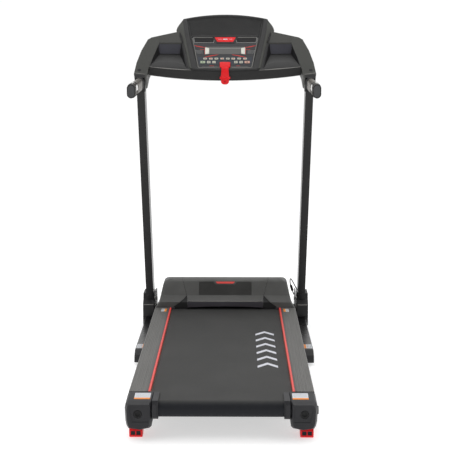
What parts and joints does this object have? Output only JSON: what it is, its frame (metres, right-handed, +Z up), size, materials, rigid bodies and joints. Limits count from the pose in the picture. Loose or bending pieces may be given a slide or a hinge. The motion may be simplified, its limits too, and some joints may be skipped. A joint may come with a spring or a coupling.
{
  "type": "treadmill",
  "caption": "Folding motorised treadmill with a ridged-rail running deck, motor hood, slanting uprights, oval handlebars and a sloping console with a pull-off safety key.",
  "frame": {"origin": "on the floor, at the middle of the whole machine's footprint", "axes": "+X to the user's right, +Y forward from the user to the motor hood, +Z up"},
  "size_m": [0.688, 1.61, 1.2676],
  "materials": {
    "frame": "semi-matt black powder coat",
    "black_plastic": "fine-textured moulded black",
    "console_plastic": "fine-textured moulded charcoal",
    "hood_plastic": "fine-textured moulded charcoal",
    "rubber": "matt",
    "zinc": "zinc plated",
    "silver_tube": "satin silver",
    "chrome": "polished",
    "panel_film": "satin printed film",
    "screen": "clear window over grey liquid crystal",
    "board_green": "solder mask",
    "cable_black": "satin",
    "connector_black": "black nylon",
    "key_green": "satin",
    "key_red": "satin",
    "key_pale": "satin",
    "red_plastic": "satin moulded red",
    "board_wood": "waxed phenolic-faced board",
    "belt_rubber": "fine diamond emboss",
    "rail_grey": "ridged grey moulding",
    "motor_steel": "black enamel"
  },
  "bodies": {
    "base": {"floor_tube_left": "frame", "floor_tube_right": "frame", "cross_tubes": "frame", "floor_tube_caps": "black_plastic", "foot_pads": "rubber", "upright_left": "frame", "upright_right": "frame", "upright_cover_left": "black_plastic", "upright_cover_right": "black_plastic", "pivot_brackets": "frame", "frame_bolts": "zinc", "pivot_pins": "zinc", "handlebar_left": "silver_tube", "handlebar_right": "silver_tube", "handlebar_caps": "black_plastic", "pulse_sensors": "chrome", "console_crossbar": "frame", "console_back": "black_plastic", "console_face": "console_plastic", "console_arm_left": "console_plastic", "console_arm_right": "console_plastic", "display_panel": "panel_film", "lcd_module": "screen", "speaker_grilles": "black_plastic", "control_board": "board_green", "signal_cable": "cable_black", "cable_connector": "connector_black"},
    "deck": {"deck_frame": "frame", "running_board": "board_wood", "running_belt": "belt_rubber", "deck_cushions": "rubber", "side_rail_left": "rail_grey", "side_rail_right": "rail_grey", "rail_trims": "red_plastic", "rear_cap_left": "black_plastic", "rear_cap_right": "black_plastic", "motor_hood": "hood_plastic", "hood_side_covers": "hood_plastic", "hood_grille": "black_plastic", "motor_tray": "frame", "drive_motor": "motor_steel", "drive_belt": "cable_black", "motor_controller": "motor_steel", "power_inlet": "black_plastic"},
    "front_roller": {"front_roller": "zinc"},
    "rear_roller": {"rear_roller": "zinc"},
    "motor_rotor": {"motor_rotor": "motor_steel"},
    "incline_feet": {"incline_feet": "red_plastic", "incline_rod": "zinc", "incline_knob": "black_plastic"},
    "power_rocker": {"power_rocker": "red_plastic"},
    "wheel_left": {"transport_wheel_left": "rubber"},
    "wheel_right": {"transport_wheel_right": "rubber"},
    "safety_key": {"safety_key": "red_plastic"},
    "start_key": {"start_key": "key_green"},
    "mode_key": {"mode_key": "key_pale"},
    "speed_down_key": {"speed_down_key": "key_pale"},
    "speed_up_key": {"speed_up_key": "key_pale"},
    "program_key": {"program_key": "key_pale"},
    "stop_key": {"stop_key": "key_red"}
  },
  "joints": [
    {"name": "deck_fold", "type": "hinge", "parent": "base", "child": "deck", "pos_m": [0, 0.65, 0.073], "axis": [-1, 0, 0], "range_deg": [0, 65]},
    {"name": "front_roller_spin", "type": "hinge", "parent": "deck", "child": "front_roller", "pos_m": [0, 0.47, 0.0932], "axis": [-1, 0, 0], "continuous": true},
    {"name": "rear_roller_spin", "type": "hinge", "parent": "deck", "child": "rear_roller", "pos_m": [0, -0.772, 0.0932], "axis": [-1, 0, 0], "continuous": true},
    {"name": "motor_spin", "type": "hinge", "parent": "deck", "child": "motor_rotor", "pos_m": [0, 0.6, 0.128], "axis": [-1, 0, 0], "continuous": true},
    {"name": "incline_turn", "type": "hinge", "parent": "deck", "child": "incline_feet", "pos_m": [0, -0.688, 0.0615], "axis": [1, 0, 0], "range_deg": [0, 75]},
    {"name": "power_rock", "type": "hinge", "parent": "deck", "child": "power_rocker", "pos_m": [0.203, 0.706, 0.084], "axis": [-1, 0, 0], "range_deg": [0, 14]},
    {"name": "wheel_left_spin", "type": "hinge", "parent": "base", "child": "wheel_left", "pos_m": [-0.307, 0.784, 0.023], "axis": [1, 0, 0], "continuous": true},
    {"name": "wheel_right_spin", "type": "hinge", "parent": "base", "child": "wheel_right", "pos_m": [0.307, 0.784, 0.023], "axis": [1, 0, 0], "continuous": true},
    {"name": "safety_key_pull", "type": "slide", "parent": "base", "child": "safety_key", "axis": [0, -0.7986, 0.6018], "range_m": [0, 0.06]},
    {"name": "start_press", "type": "slide", "parent": "base", "child": "start_key", "axis": [0, 0.7986, -0.6018], "range_m": [0, 0.001], "stiffness_N_per_m": 400, "springref_m": -0.0005},
    {"name": "mode_press", "type": "slide", "parent": "base", "child": "mode_key", "axis": [0, 0.7986, -0.6018], "range_m": [0, 0.001], "stiffness_N_per_m": 400, "springref_m": -0.0005},
    {"name": "speed_down_press", "type": "slide", "parent": "base", "child": "speed_down_key", "axis": [0, 0.7986, -0.6018], "range_m": [0, 0.001], "stiffness_N_per_m": 400, "springref_m": -0.0005},
    {"name": "speed_up_press", "type": "slide", "parent": "base", "child": "speed_up_key", "axis": [0, 0.7986, -0.6018], "range_m": [0, 0.001], "stiffness_N_per_m": 400, "springref_m": -0.0005},
    {"name": "program_press", "type": "slide", "parent": "base", "child": "program_key", "axis": [0, 0.7986, -0.6018], "range_m": [0, 0.001], "stiffness_N_per_m": 400, "springref_m": -0.0005},
    {"name": "stop_press", "type": "slide", "parent": "base", "child": "stop_key", "axis": [0, 0.7986, -0.6018], "range_m": [0, 0.001], "stiffness_N_per_m": 400, "springref_m": -0.0005}
  ],
  "couplings": [
    {"joint": "rear_roller_spin", "follows": "front_roller_spin", "ratio": 1},
    {"joint": "motor_spin", "follows": "front_roller_spin", "ratio": 2.4286}
  ]
}
